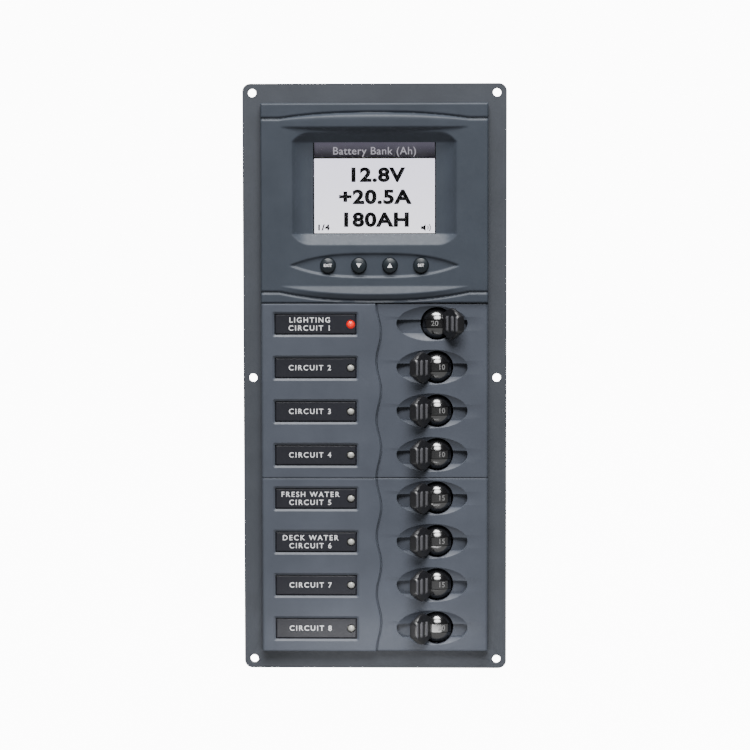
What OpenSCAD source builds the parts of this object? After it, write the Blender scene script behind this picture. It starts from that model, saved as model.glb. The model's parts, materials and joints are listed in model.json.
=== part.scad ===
// Marine switch panel: eight toggle circuit breakers under a battery monitor, on one mounting plate.
// Millimetres. +X right, +Y into the bulkhead, +Z up. The origin is the centre of the six mounting
// holes, in the plane of the plate's back face, so the bulkhead starts at y = 0.

/* [Mounting plate] */
// Width of the plate
plate_w = 115; // [113:1:125]
// Height of the plate
plate_h = 256; // [255:1:265]
// Thickness of the plate
plate_t = 2.5; // [2.5:0.1:2.5]
// Corner radius of the plate
plate_r = 3.5; // [2:0.5:6]
// Hole to hole distance across the panel
hole_dx = 106.5; // [106:0.5:108]
// Hole to hole distance up the panel, corner to corner
hole_dz = 248; // [247:1:250]
// Radius of the mounting holes
hole_r = 1.8; // [1.6:0.05:2.1]

/* [Fascias] */
// Width of the three moulded fascias
fascia_w = 98.7; // [98.5:0.1:99.2]
// Height of the monitor's bezel
monitor_h = 86.7; // [86.7:0.1:87.3]
// Top edge of the bezel above the origin
fascia_top = 119.3; // [119:0.1:119.6]
// How far the breaker column stands off the plate
right_proud = 4; // [4:0.1:4.2]
// How far the legend column stands off the plate
left_proud = 5.2; // [5:0.1:5.4]
// How far the bezel stands off the plate
bezel_proud = 5; // [4.8:0.1:5.2]
// Wall thickness of the mouldings
wall = 1.6; // [1.4:0.1:1.6]
// Gap between neighbouring fascias
seam = 0.2; // [0.1:0.1:0.4]

/* [Breakers] */
// Distance from one breaker to the next
pitch = 19.05; // [19.05:0.05:19.2]
// Height of each legend above the middle of its share of the fascia
row_lift = 0.5; // [0.2:0.1:0.6]
// Height of a breaker above the centre of its legend
breaker_lift = 0.3; // [0.2:0.1:0.9]
// Sideways position of the toggle pivots
pivot_x = 27.1; // [27:0.1:27.2]
// Length of a breaker case, sideways
case_len = 46; // [46:0.5:46.5]
// Depth of a breaker case behind the plate
case_depth = 44; // [44:1:46]
// Width of a breaker case, up the panel
case_w = 18.8; // [18.6:0.1:18.9]
// Radius of the toggle's ball
ball_r = 7.1; // [7:0.05:7.15]
// Reach of the toggle from its pivot to its tip
toggle_reach = 17; // [16:0.5:18]
// Throw of a toggle either side of square
throw = 38; // [36:1:38]
// Turn of the contact arm for each degree of the toggle
arm_ratio = 0.365; // [0.36:0.005:0.37]

/* [Monitor] */
// Visible width of the display
display_w = 53.3; // [50:0.1:54]
// Visible height of the display
display_h = 39.7; // [38:0.1:40]
// Height of the display's centre
display_z = 82.6; // [82.4:0.1:82.8]
// Height of the row of keys
key_z = 49.1; // [49:0.1:49.3]
// Radius of a key's cap
key_r = 3.2; // [3:0.1:3.3]
// Distance from one key to the next
key_pitch = 13.46; // [13:0.02:14]
// Depth of the monitor's rear case behind the plate
rear_depth = 20; // [20:1:22]

/* [Legends] */
// Width of a legend's window
legend_w = 35.8; // [34:0.2:36]
// Height of a legend's window
legend_h = 9.2; // [8:0.2:9.4]
// Sideways position of the legends' centre
legend_x = -25.7; // [-25.9:0.1:-25.5]
// Sideways position of the indicator lamps
led_x = -10.4; // [-10.6:0.1:-10.2]
// Radius of an indicator lamp
led_r = 1.7; // [1.4:0.1:1.8]

/* [Hidden] */
$fn = 72;
eps = 0.05;
ROWS = 8;
PER_FASCIA = 4;
KEYS = ["exit", "down", "up", "set"];

// Planes of the mouldings, measured along Y.
plate_front = -plate_t;
right_front = plate_front - right_proud;
left_front = plate_front - left_proud;
bezel_front = plate_front - bezel_proud;
left_inner = left_front + wall;
bezel_inner = bezel_front + wall;

// Heights of the three fascias.
module_h = PER_FASCIA * pitch;
monitor_z = fascia_top - monitor_h / 2;
monitor_low = fascia_top - monitor_h;
upper_z = monitor_low - module_h / 2;
lower_z = upper_z - module_h;
function row_z(n) = monitor_low - (n - 0.5) * pitch + row_lift;
function row_offset(i) = ((PER_FASCIA + 1) / 2 - i) * pitch + row_lift;

// Toggle, ball socket and pivot.
pivot_y = -1.4;
pin_r = 1;
pin_gap = 0.05;
collar_r = 8.5;
collar_front = plate_front - 0.7;
socket_r = 7.3;
ball_back = 3.6;
band_half = 1.95;
band_depth = 0.35;
lever_t = 3.4;
edge_t = 1.8;
pad_half = 3.3;
shoulder = 6.8;
// Half width of the lever at each distance from the pivot.
lever_edge = [[3, 4.4], [6, 4.8], [8, 6], [9.3, shoulder], [10.5, 6.6], [15.6, 3.9],
              [toggle_reach, pad_half]];
rib_r = 0.9;
rib_at = [9.8, 13.4];
rib_sink = 0.5;
tail_reach = 9.8;
tail_w = 3;
slot_w = 2.8;
slot_from = 4.6;
tine_t = 1.2;

// Contact arm.
arm_pivot_y = pivot_y + 26;
arm_nose = 20;
nose_w = 3.2;
nose_lean = throw * arm_ratio;
drive_pin_r = 1;
cheek_t = 1.5;
cheek_from = 15;
contact_x = 14;
arm_t = 1.6;
arm_w = 6.4;
hub_r = 2.6;
arm_pin_r = 1.2;
moving_contact_t = 0.5;
contact_gap = 0.1;
fixed_contact_t = 1;
contact_r = 2;

// Breaker case.
case_wall = 1.5;
screw_dx = 17.3;
screw_r = 1.5;
screw_head_r = 2.75;
screw_fit = 0.1;
screw_boss_r = 2.8;
screw_boss_h = 9;
screw_reach = 11;
terminal_dx = 15;
terminal_screw_r = 2;
terminal_head_r = 3.7;
terminal_head_h = 2.8;
terminal_reach = 6.4;
terminal_boss_r = 3.2;
terminal_boss_h = 4;
pad_w = 9;
pad_h = 11;
pad_t = 1.4;
blade_t = 1.2;
blade_w = 8;
rivet_r = 1.1;
rivet_x = 20.8;
rivet_y = [14, 24];
bus_w = 10;
bus_t = 1.6;
feed_r = 2.6;
feed_z = monitor_low + 5.4;

// Trip coil on its core, held by a bent yoke.
coil_x = [3, 16];
coil_y = 33;
coil_r = 4.6;
coil_flange_r = 5.2;
coil_flange_t = 1;
core_r = 2;
core_end = 17.2;
yoke_t = 1.2;
yoke_x = coil_x[0] - yoke_t;
yoke_reach = 7.6;
yoke_back = coil_y + 6.4;
yoke_half = case_w / 2 - 1.5;
lead_from = 29;

// Finger recess: a scoop turned about an axis that lies in front of the fascia.
scoop_x = 25.1;
scoop_half_w = 15.5;
scoop_half_h = 7.65;
scoop_depth = 2.3;
scoop_r = (pow(scoop_half_h, 2) + pow(scoop_depth, 2)) / (2 * scoop_depth);
scoop_arc = (pow(scoop_half_w, 2) + pow(scoop_depth, 2)) / (2 * scoop_depth);
ball_hole_r = 7.15;
// Flat pocket along the scoop, where the lever lies at each end of its throw.
pocket_x = [9.5, 40.4];
pocket_z = [-4.3, 1.6];
pocket_depth = 1.9;
// Hollows behind the breaker column, either side of the scoops.
relief_x = [[3.2, 7.6], [42, fascia_w / 2 - wall]];
relief_depth = 2.2;

// Edge between the legend column and the breaker column: three waves in each fascia.
wave_x = 1.5;
wave_size = 1;
waves = 3;
wave_steps = 10;

// Legends, lamps and their board.
legend_lap = 0.7;
legend_t = 0.8;
legend_gap = 0.3;
legend_rise = 1;
lamp_h = 1.6;
board_t = 1.6;
board_half_h = 31.4;
board_x = [-46.6, -1.6];
hollow_right = -1.2;
boss_x = [-43.5, -4.5];
boss_r = 2.5;
tap_r = 1.4;
tap_head_r = 2.6;
tap_head_h = 1.8;
led_flange = 0.3;
led_flange_h = 0.6;
header_size = [10, 4];

// Monitor.
display_plane = -4;
recess_w = 71.4;
recess_low = 58;
recess_high = 106.8;
recess_r = 6;
window_lap = 1.6;
window_t = 1.5;
lcd_size = [60, 46];
lcd_t = 1.8;
lcd_back = -0.5;
backlight_t = 3.1;
circuit_size = [78, 66];
circuit_front = 3;
cutout_size = [80, 70];
rear_size = [84, 72];
flange_size = [92, 80];
flange_t = 2;
rear_wall = 2;
monitor_screw = [43.8, 37.4];
post = [36.5, 30.5];
post_r = 2.5;
peg_r = 1.2;
pod_half_w = 35.6;
pod_half_h = 5.4;
pod_depth = 0.8;
pod_r = (pow(pod_half_w, 2) + pow(pod_half_h, 2)) / (2 * pod_half_h);
key_hole_r = key_r + 0.25;
key_flange_r = 4.4;
key_top = bezel_front - 1.1;
key_stem_end = -0.6;
key_stem_r = 1.6;
key_dome_r = 9;
key_pad = bezel_front + 2.3;
// Thicker parts of the bezel, behind the display recess and behind the keys.
surround_half_w = 37;
surround_z = [56.6, 108.2];
key_floor_half_w = 25;
key_floor_half_h = 5.4;
switch_size = 6;
switch_front = 0.6;
block_x = 20;
block_z = 58;
block_size = [32, 10];
block_back = rear_depth + 11;
wire_half = 1.6;
wire_y = [rear_depth + 2.5, rear_depth + 5.9];
clamp_screw_r = 1.75;
ways = 6;
way_pitch = 5.08;
// Parts on the back of the monitor's board: x, z, width, height and depth of each.
board_parts = [[-22, 96, 14, 14, 1.6], [4, 99, 9, 6, 1.8], [3, 86, 12, 10, 6],
               [-26, 78, 8, 5, 2], [-4, 74, 6, 6, 3], [14, 76, 5, 8, 2.4], [27, 79, 12, 9, 9]];
// Its round capacitors: x, z, radius and depth.
capacitors = [[-34, 88, 3.1, 9], [-27, 88, 3.1, 9]];
sounder = [26, 96];
sounder_r = 6;
sounder_h = 8;
sounder_holes_r = 3.4;

// Brows over and under the display, and the grooves that bound them.
brow_half_w = 41;
brow_proud = 2.6;
brow_r = (pow(brow_half_w, 2) + pow(brow_proud, 2)) / (2 * brow_proud);
brow_top = [109, 112.2];
brow_bottom = [35, 40.2];
groove_r = 0.7;
groove_depth = 0.55;
groove_rise = 3;
groove_arc = (pow(brow_half_w, 2) + pow(groove_rise, 2)) / (2 * groove_rise);
groove_top_mid = 115.2;
groove_bottom_mid = 34;

// ---- Shared shapes ----

// Turns a flat outline drawn in X and Z into a slab between two planes of Y.
module slab(front, back) {
    translate([0, back, 0]) rotate([90, 0, 0]) linear_extrude(back - front) children();
}

// A round bar along Y between two planes.
module bar_y(r, front, back) {
    translate([0, front, 0]) rotate([-90, 0, 0]) cylinder(r = r, h = back - front);
}

// A box from its lowest corner to its highest.
module span(low, high) {
    translate(low) cube(high - low);
}

module rounded(w, h, r) {
    difference() {
        square([w, h], center = true);
        for (sx = [-1, 1], sz = [-1, 1])
            translate([sx * (w / 2 - r), sz * (h / 2 - r)]) difference() {
                translate([sx > 0 ? 0 : -r - 1, sz > 0 ? 0 : -r - 1]) square(r + 1);
                circle(r);
            }
    }
}

// A lens shape: two equal arcs that meet in points.
module lens(arc_r, half_h) {
    intersection_for(s = [-1, 1]) translate([0, s * (arc_r - half_h)]) circle(arc_r);
}

module at_row(n) {
    translate([0, 0, row_z(n)]) children();
}

// The frame of breaker n: x from the toggle's pivot, z from the middle of the case.
module at_breaker(n) {
    translate([pivot_x, 0, row_z(n) + breaker_lift]) children();
}

module at_keys() {
    for (k = [0:3]) at_key(k) children();
}

module at_key(k) {
    translate([(k - 1.5) * key_pitch, 0, key_z]) children();
}

module at_fascia_bosses() {
    for (x = boss_x, s = [-1, 1]) translate([x, 0, s * pitch]) children();
}

module at_monitor_screws() {
    for (sx = [-1, 1], sz = [-1, 1])
        translate([sx * monitor_screw[0], 0, monitor_z + sz * monitor_screw[1]]) children();
}

// ---- Mounting plate ----

module mounting_plate() {
    color([0.30, 0.32, 0.35]) difference() {
        slab(plate_front, 0) rounded(plate_w, plate_h, plate_r);
        for (sx = [-1, 1], sz = [-1, 0, 1])
            translate([sx * hole_dx / 2, 0, sz * hole_dz / 2]) plate_hole(hole_r);
        translate([0, 0, monitor_z])
            slab(plate_front - 1, 1) square(cutout_size, center = true);
        at_monitor_screws() plate_hole(tap_r + 0.3);
        for (n = [1:ROWS]) at_breaker(n) {
            plate_hole(collar_r + 0.2);
            for (s = [-1, 1]) translate([s * screw_dx, 0, 0]) {
                plate_hole(screw_r + screw_fit);
                countersink(0.5, screw_fit);
            }
        }
        for (z = [upper_z, lower_z]) translate([0, 0, z]) {
            at_fascia_bosses() plate_hole(tap_r + 0.3);
            translate([legend_x, 0, 0])
                slab(plate_front - 1, 1) square(header_size + [1, 1], center = true);
        }
    }
}

module plate_hole(r) {
    bar_y(r, plate_front - 1, 1);
}

// The cone of a flat screw head in the plate, run on in front of it by over and widened by gap.
module countersink(over, gap) {
    translate([0, plate_front - over, 0]) rotate([-90, 0, 0])
        cylinder(r1 = screw_head_r + gap + over, r2 = screw_r + gap, h = screw_head_r - screw_r + over);
}

// ---- Breaker fascias ----

// The raised legend column, with its waved right-hand edge.
module legend_column() {
    half = module_h / 2 - seam / 2;
    count = waves * wave_steps;
    edge = [for (i = [0:count])
        [wave_x - wave_size * cos(360 * i / wave_steps), half - 2 * half * i / count]];
    polygon(concat([[-fascia_w / 2, -half], [-fascia_w / 2, half]], edge));
}

// The scoop around one toggle, with its axis in front of the breaker column.
module scoop() {
    translate([scoop_x, right_front - (scoop_r - scoop_depth), 0]) rotate([0, 90, 0])
        rotate_extrude() intersection() {
            translate([scoop_r - scoop_arc, 0]) circle(scoop_arc);
            translate([0, -scoop_half_w]) square([scoop_r + 1, 2 * scoop_half_w]);
        }
}

module breaker_fascia(z) {
    half = module_h / 2 - seam / 2;
    color([0.36, 0.38, 0.42]) translate([0, 0, z]) difference() {
        union() {
            slab(right_front, plate_front) square([fascia_w, 2 * half], center = true);
            slab(left_front, plate_front) legend_column();
        }
        difference() {
            span([-fascia_w / 2 + wall, left_inner, -half + wall],
                 [hollow_right, plate_front + 1, half - wall]);
            at_fascia_bosses() bar_y(boss_r, left_front, plate_front + 2);
        }
        for (x = relief_x)
            span([x[0], plate_front - relief_depth, -half + wall], [x[1], plate_front + 1, half - wall]);
        at_fascia_bosses() bar_y(tap_r + 0.1, left_inner - 0.1, plate_front + 1);
        for (i = [1:PER_FASCIA]) translate([0, 0, row_offset(i)]) {
            translate([legend_x, 0, 0])
                slab(left_front - 1, left_inner + 1) square([legend_w, legend_h], center = true);
            translate([0, 0, breaker_lift]) {
                scoop();
                span([pocket_x[0], right_front - 1, pocket_z[0]],
                     [pocket_x[1], right_front + pocket_depth, pocket_z[1]]);
                translate([pivot_x, 0, 0]) {
                    bar_y(ball_hole_r, right_front - 1, plate_front + 1);
                    bar_y(collar_r + 0.2, collar_front - 0.1, plate_front + 1);
                }
            }
        }
    }
}

// ---- Legends, lamps and their boards ----

module legend(n) {
    strip_w = legend_w + 2 * legend_lap;
    strip_h = legend_h + 2 * legend_lap * 0.7;
    color([0.16, 0.16, 0.18]) at_row(n) difference() {
        translate([legend_x, 0, 0]) {
            slab(left_inner, left_inner + legend_t) square([strip_w, strip_h], center = true);
            slab(left_inner - legend_rise, left_inner + eps)
                square([legend_w - 2 * legend_gap, legend_h - 2 * legend_gap], center = true);
        }
        translate([led_x, 0, 0])
            bar_y(led_r + 0.15, left_inner - legend_rise - 1, left_inner + legend_t + 1);
    }
}

module indicator_lamp() {
    base = plate_front - board_t;
    dome = base - lamp_h;
    translate([led_x, 0, 0]) {
        bar_y(led_r, dome, base);
        bar_y(led_r + led_flange, base - led_flange_h, base);
        intersection() {
            translate([0, dome, 0]) sphere(led_r);
            bar_y(led_r + 1, dome - led_r - 1, dome);
        }
    }
}

module indicator_lamp_lit() {
    color("red") at_row(1) indicator_lamp();
}

module indicator_lamps_unlit() {
    color([0.75, 0.75, 0.72]) for (n = [2:ROWS]) at_row(n) indicator_lamp();
}

module indicator_board(z) {
    board_back = plate_front;
    color([0.05, 0.30, 0.16]) translate([0, 0, z]) {
        difference() {
            span([board_x[0], board_back - board_t, -board_half_h],
                 [board_x[1], board_back, board_half_h]);
            at_fascia_bosses() bar_y(boss_r + 0.2, board_back - board_t - 1, board_back + 1);
        }
        translate([legend_x, 0, 0])
            slab(board_back, 6) square(header_size, center = true);
    }
}

// ---- Monitor ----

module brow(z) {
    intersection() {
        translate([0, bezel_front - brow_proud + brow_r, z[0]])
            cylinder(r = brow_r, h = z[1] - z[0], $fn = 180);
        span([-brow_half_w, bezel_front - brow_proud - 1, z[0]],
             [brow_half_w, bezel_front + 0.5, z[1]]);
    }
}

// A round groove that follows an arc across the bezel; up is 1 for an arc that rises in the middle.
module arc_groove(mid_z, up) {
    translate([0, bezel_front - groove_r + groove_depth, mid_z - up * groove_arc]) rotate([90, 0, 0])
        rotate_extrude() translate([groove_arc, 0]) circle(groove_r);
}

module display_recess() {
    recess_h = recess_high - recess_low;
    hull() {
        translate([0, 0, (recess_high + recess_low) / 2])
            slab(bezel_front - 0.1, bezel_front) rounded(recess_w, recess_h, recess_r, $fn = 32);
        translate([0, 0, display_z])
            slab(display_plane, display_plane + 0.1) square([display_w, display_h], center = true);
    }
    translate([0, 0, (recess_high + recess_low) / 2])
        slab(bezel_front - brow_proud - 1, bezel_front)
            square([recess_w, recess_h - 1], center = true);
}

module monitor_bezel() {
    half_w = fascia_w / 2;
    low = monitor_low + seam / 2;
    color([0.33, 0.36, 0.40]) difference() {
        union() {
            span([-half_w, bezel_front, low], [half_w, plate_front, fascia_top]);
            brow(brow_top);
            brow(brow_bottom);
        }
        difference() {
            span([-half_w + wall, bezel_inner, low + wall],
                 [half_w - wall, plate_front + 1, fascia_top - wall]);
            span([-surround_half_w, bezel_inner - 1, surround_z[0]],
                 [surround_half_w, plate_front + 2, surround_z[1]]);
            span([-key_floor_half_w, bezel_inner - 1, key_z - key_floor_half_h],
                 [key_floor_half_w, key_pad, key_z + key_floor_half_h]);
            at_monitor_screws() bar_y(boss_r, bezel_front, plate_front + 2);
        }
        arc_groove(groove_top_mid, 1);
        arc_groove(groove_bottom_mid, -1);
        display_recess();
        translate([0, 0, display_z]) slab(display_plane, plate_front + 1)
            square([display_w + 2 * window_lap + 0.4, display_h + 2 * window_lap + 0.4], center = true);
        translate([0, 0, key_z])
            slab(bezel_front - 1, bezel_front + pod_depth) lens(pod_r, pod_half_h, $fn = 200);
        at_keys() bar_y(key_hole_r, bezel_front - 1, plate_front + 1);
        at_monitor_screws() bar_y(tap_r + 0.1, bezel_inner - 0.1, plate_front + 1);
    }
}

module display_window() {
    color([0.8, 0.85, 0.9, 0.4]) translate([0, 0, display_z])
        slab(display_plane, display_plane + window_t)
            square([display_w + 2 * window_lap, display_h + 2 * window_lap], center = true);
}

module display_module() {
    color([0.85, 0.85, 0.88]) translate([0, 0, display_z])
        slab(lcd_back - lcd_t, lcd_back) square(lcd_size, center = true);
}

module display_backlight() {
    color("white") translate([0, 0, display_z])
        slab(lcd_back + 0.1, lcd_back + 0.1 + backlight_t) square(lcd_size, center = true);
}

// A key: domed cap, retaining flange behind the bezel and a stem that reaches its switch.
module key(k) {
    color([0.14, 0.16, 0.18]) at_key(k) {
        intersection() {
            bar_y(key_r, key_top - 1, key_pad + 0.2);
            translate([0, key_top + key_dome_r, 0]) sphere(key_dome_r);
        }
        bar_y(key_flange_r, key_pad + 0.1, key_pad + 0.9);
        bar_y(key_stem_r, key_pad + 0.5, key_stem_end);
    }
}

module key_switches() {
    color([0.1, 0.1, 0.1]) at_keys() {
        slab(switch_front, circuit_front) square(switch_size, center = true);
        bar_y(key_stem_r, switch_front - 0.5, switch_front);
    }
}

module monitor_board() {
    back = circuit_front + board_t;
    color([0.05, 0.30, 0.16]) {
        difference() {
            translate([0, 0, monitor_z]) slab(circuit_front, back) square(circuit_size, center = true);
            at_posts() bar_y(peg_r + 0.2, circuit_front - 1, back + 1);
        }
        for (p = board_parts) translate([p[0], 0, p[1]])
            slab(back, back + p[4]) square([p[2], p[3]], center = true);
        for (c = capacitors) translate([c[0], 0, c[1]]) bar_y(c[2], back, back + c[3]);
    }
}

module at_posts() {
    for (sx = [-1, 1], sz = [-1, 1])
        translate([sx * post[0], 0, monitor_z + sz * post[1]]) children();
}

module alarm_sounder() {
    back = circuit_front + board_t;
    color([0.08, 0.08, 0.08]) translate([sounder[0], 0, sounder[1]]) difference() {
        bar_y(sounder_r, back, back + sounder_h);
        bar_y(1, back + sounder_h - 2, back + sounder_h + 1);
    }
}

module terminal_blocks() {
    back = circuit_front + board_t;
    color([0.10, 0.50, 0.25]) for (s = [-1, 1]) translate([s * block_x, 0, block_z]) difference() {
        slab(back, block_back) square(block_size, center = true);
        for (i = [1:ways]) translate([(i - (ways + 1) / 2) * way_pitch, 0, 0]) {
            span([-wire_half, wire_y[0], -block_size[1] / 2 - 1], [wire_half, wire_y[1], 1.5]);
            bar_y(clamp_screw_r, block_back - 1.2, block_back + 1);
        }
    }
}

module monitor_rear_case() {
    cavity = rear_size - [2 * rear_wall, 2 * rear_wall];
    board_back = circuit_front + board_t;
    color([0.09, 0.10, 0.11]) {
        difference() {
            translate([0, 0, monitor_z]) union() {
                slab(0, flange_t) rounded(flange_size[0], flange_size[1], 4);
                slab(0, rear_depth) rounded(rear_size[0], rear_size[1], 3);
            }
            translate([0, 0, monitor_z]) slab(-1, rear_depth - rear_wall) square(cavity, center = true);
            at_monitor_screws() bar_y(tap_r + 0.3, -1, flange_t + 1);
            for (s = [-1, 1]) translate([s * block_x, 0, block_z])
                slab(0, rear_depth + 1) square(block_size + [1, 1], center = true);
            translate([sounder[0], 0, sounder[1]]) for (a = [0:60:300])
                translate([sounder_holes_r * cos(a), 0, sounder_holes_r * sin(a)])
                    bar_y(0.8, 0, rear_depth + 1);
        }
        at_posts() {
            bar_y(post_r, board_back, rear_depth - rear_wall + eps);
            bar_y(peg_r, circuit_front - 0.6, board_back + eps);
        }
    }
}

// A round-headed screw along Y: seat is the plane under the head, and way is 1 if it points to +Y.
module screw(r, head_r, head_h, seat, reach, way) {
    head = seat - way * head_h;
    tip = seat + way * reach;
    difference() {
        union() {
            bar_y(head_r, min(head, seat), max(head, seat));
            bar_y(r, min(seat, tip), max(seat, tip));
        }
        for (turn = [0, 90]) translate([0, head, 0]) rotate([0, turn, 0])
            cube([head_r * 1.2, head_h * 0.8, head_r * 0.22], center = true);
    }
}

module fascia_screws() {
    color("silver") {
        at_monitor_screws() screw(tap_r, tap_head_r, tap_head_h, flange_t, flange_t - bezel_inner - 0.3, -1);
        for (z = [upper_z, lower_z]) translate([0, 0, z])
            at_fascia_bosses() screw(tap_r, tap_head_r, tap_head_h, 0, -left_inner - 0.2, -1);
    }
}

// ---- Breakers ----

// The whole breaker case, before it is parted into base and cover at z = 0.
module breaker_case() {
    x0 = -case_len / 2;
    x1 = case_len / 2;
    inner = case_w / 2 - case_wall;
    back_inner = case_depth - case_wall;
    difference() {
        union() {
            span([x0, 0, -case_w / 2], [x1, case_depth, case_w / 2]);
            bar_y(collar_r, collar_front, 1);
        }
        difference() {
            span([x0 + case_wall, case_wall, -inner], [x1 - case_wall, back_inner, inner]);
            for (s = [-1, 1]) translate([s * screw_dx, 0, 0]) bar_y(screw_boss_r, 0, screw_boss_h);
            for (s = [-1, 1]) translate([s * terminal_dx, 0, 0])
                bar_y(terminal_boss_r, back_inner - terminal_boss_h, case_depth);
            for (s = [-1, 1], y = rivet_y) translate([s * rivet_x, y, -case_w / 2])
                cylinder(r = rivet_r + 1, h = case_w);
        }
        bar_y(socket_r, collar_front - 1, case_wall + 1);
        for (s = [-1, 1]) translate([s * screw_dx, 0, 0]) bar_y(screw_r + 0.1, -1, screw_boss_h + 0.5);
        for (s = [-1, 1]) translate([s * terminal_dx, 0, 0])
            bar_y(terminal_screw_r + 0.1, back_inner - terminal_boss_h - 1, case_depth + 1);
        for (s = [-1, 1]) translate([s * (terminal_dx + pad_w / 2 - blade_t / 2), 0, 0])
            span([-blade_t / 2 - 0.1, back_inner - 1, -blade_w / 2 - 0.1],
                 [blade_t / 2 + 0.1, case_depth + 1, blade_w / 2 + 0.1]);
        translate([0, pivot_y, -collar_r + 0.3]) cylinder(r = pin_r + 0.02, h = 2 * (collar_r - 0.3));
        translate([0, arm_pivot_y, -case_w / 2 + 0.5])
            cylinder(r = arm_pin_r + 0.02, h = case_w - 1);
        for (s = [-1, 1], y = rivet_y) translate([s * rivet_x, y, -case_w])
            cylinder(r = rivet_r + 0.02, h = 2 * case_w);
    }
}

// One half of the case: side is -1 for the base and 1 for the cover.
module case_half(side) {
    big = 100;
    intersection() {
        breaker_case();
        translate([-big / 2, -big / 4, side > 0 ? 0 : -big]) cube(big);
    }
}

module breaker_base(n) {
    color([0.06, 0.06, 0.07]) at_breaker(n) case_half(-1);
}

module breaker_covers() {
    color([0.06, 0.06, 0.07]) for (n = [1:ROWS]) at_breaker(n) case_half(1);
}

// The lever: a spade with a thick ribbed pad down its middle and thinner, sloping shoulders.
module lever() {
    far = lever_t / 2;
    intersection() {
        rotate([0, -90, 0]) translate([0, 0, -far]) linear_extrude(2 * far)
            polygon(concat([for (e = lever_edge) [e[1], -e[0]]],
                           [for (i = [len(lever_edge) - 1:-1:0]) [-lever_edge[i][1], -lever_edge[i][0]]]));
        rotate([90, 0, 0]) linear_extrude(toggle_reach) polygon([
            [far, pad_half], [edge_t / 2, shoulder], [-edge_t / 2, shoulder], [-far, pad_half],
            [-far, -pad_half], [-edge_t / 2, -shoulder], [edge_t / 2, -shoulder], [far, -pad_half]]);
    }
    for (s = [-1, 1], r = rib_at) translate([s * (far - rib_sink), -r, -pad_half + 0.2])
        cylinder(r = rib_r, h = 2 * pad_half - 0.4);
}

// The moulded toggle, drawn square to the panel with its lever along -Y.
module toggle_shape() {
    tail_half = slot_w / 2 + tine_t;
    difference() {
        union() {
            difference() {
                sphere(ball_r);
                span([-10, ball_back, -10], [10, 10, 10]);
                rotate_extrude() translate([ball_r - band_depth, -band_half])
                    square([1, 2 * band_half]);
            }
            lever();
            span([-tail_half, ball_back - 1, -tail_w / 2], [tail_half, tail_reach, tail_w / 2]);
        }
        span([-slot_w / 2, slot_from, -tail_w], [slot_w / 2, tail_reach + 1, tail_w]);
        translate([0, 0, -10]) cylinder(r = pin_r + pin_gap, h = 20);
    }
}

// Breaker 1 is on, thrown to the right. The others are off, thrown to the left.
function rest_turn(n) = n == 1 ? throw : -throw;

module toggle(n) {
    color([0.03, 0.03, 0.035]) at_breaker(n)
        translate([0, pivot_y, 0]) rotate([0, 0, rest_turn(n)]) toggle_shape();
}

// The contact arm with its contact closed. Two cheeks carry a pin that works in the toggle's slot.
module contact_arm_shape() {
    difference() {
        union() {
            translate([0, 0, -arm_w / 2]) cylinder(r = hub_r, h = arm_w);
            span([-contact_x - contact_r, -arm_t / 2, -arm_w / 2], [0, arm_t / 2, arm_w / 2]);
            rotate([0, 0, -nose_lean]) {
                difference() {
                    union() {
                        span([-nose_w / 2, -arm_nose, -arm_w / 2], [nose_w / 2, 0, arm_w / 2]);
                        translate([0, -arm_nose, -arm_w / 2]) cylinder(r = nose_w / 2, h = arm_w);
                    }
                    span([-nose_w, -arm_nose - nose_w, cheek_t - arm_w / 2],
                         [nose_w, -cheek_from, arm_w / 2 - cheek_t]);
                }
                translate([0, -arm_nose, -arm_w / 2]) cylinder(r = drive_pin_r, h = arm_w);
            }
            translate([-contact_x, 0, 0]) bar_y(contact_r, 0, arm_t / 2 + moving_contact_t);
        }
        translate([0, 0, -arm_w]) cylinder(r = arm_pin_r + pin_gap, h = 2 * arm_w);
    }
}

module contact_arm(n) {
    turn = (throw - rest_turn(n)) * arm_ratio;
    color([0.72, 0.45, 0.20]) at_breaker(n)
        translate([0, arm_pivot_y, 0]) rotate([0, 0, turn]) contact_arm_shape();
}

// A round bar along X between two planes, at the height of the coil's core.
module coil_bar(r, low, high) {
    translate([low, coil_y, 0]) rotate([0, 90, 0]) cylinder(r = r, h = high - low);
}

module breaker_coils() {
    for (n = [1:ROWS]) at_breaker(n) {
        color([0.70, 0.35, 0.15])
            coil_bar(coil_r, coil_x[0] + coil_flange_t, coil_x[1] - coil_flange_t);
        color("silver") {
            for (x = [coil_x[0], coil_x[1] - coil_flange_t])
                coil_bar(coil_flange_r, x, x + coil_flange_t);
            coil_bar(core_r, coil_x[0] - 0.2, core_end);
            span([yoke_x, coil_y - 5, -yoke_half], [yoke_x + yoke_t, yoke_back, yoke_half]);
            span([yoke_x, yoke_back - 1, -yoke_half],
                 [yoke_x + yoke_t + yoke_reach, yoke_back, yoke_half]);
        }
    }
}

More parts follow.
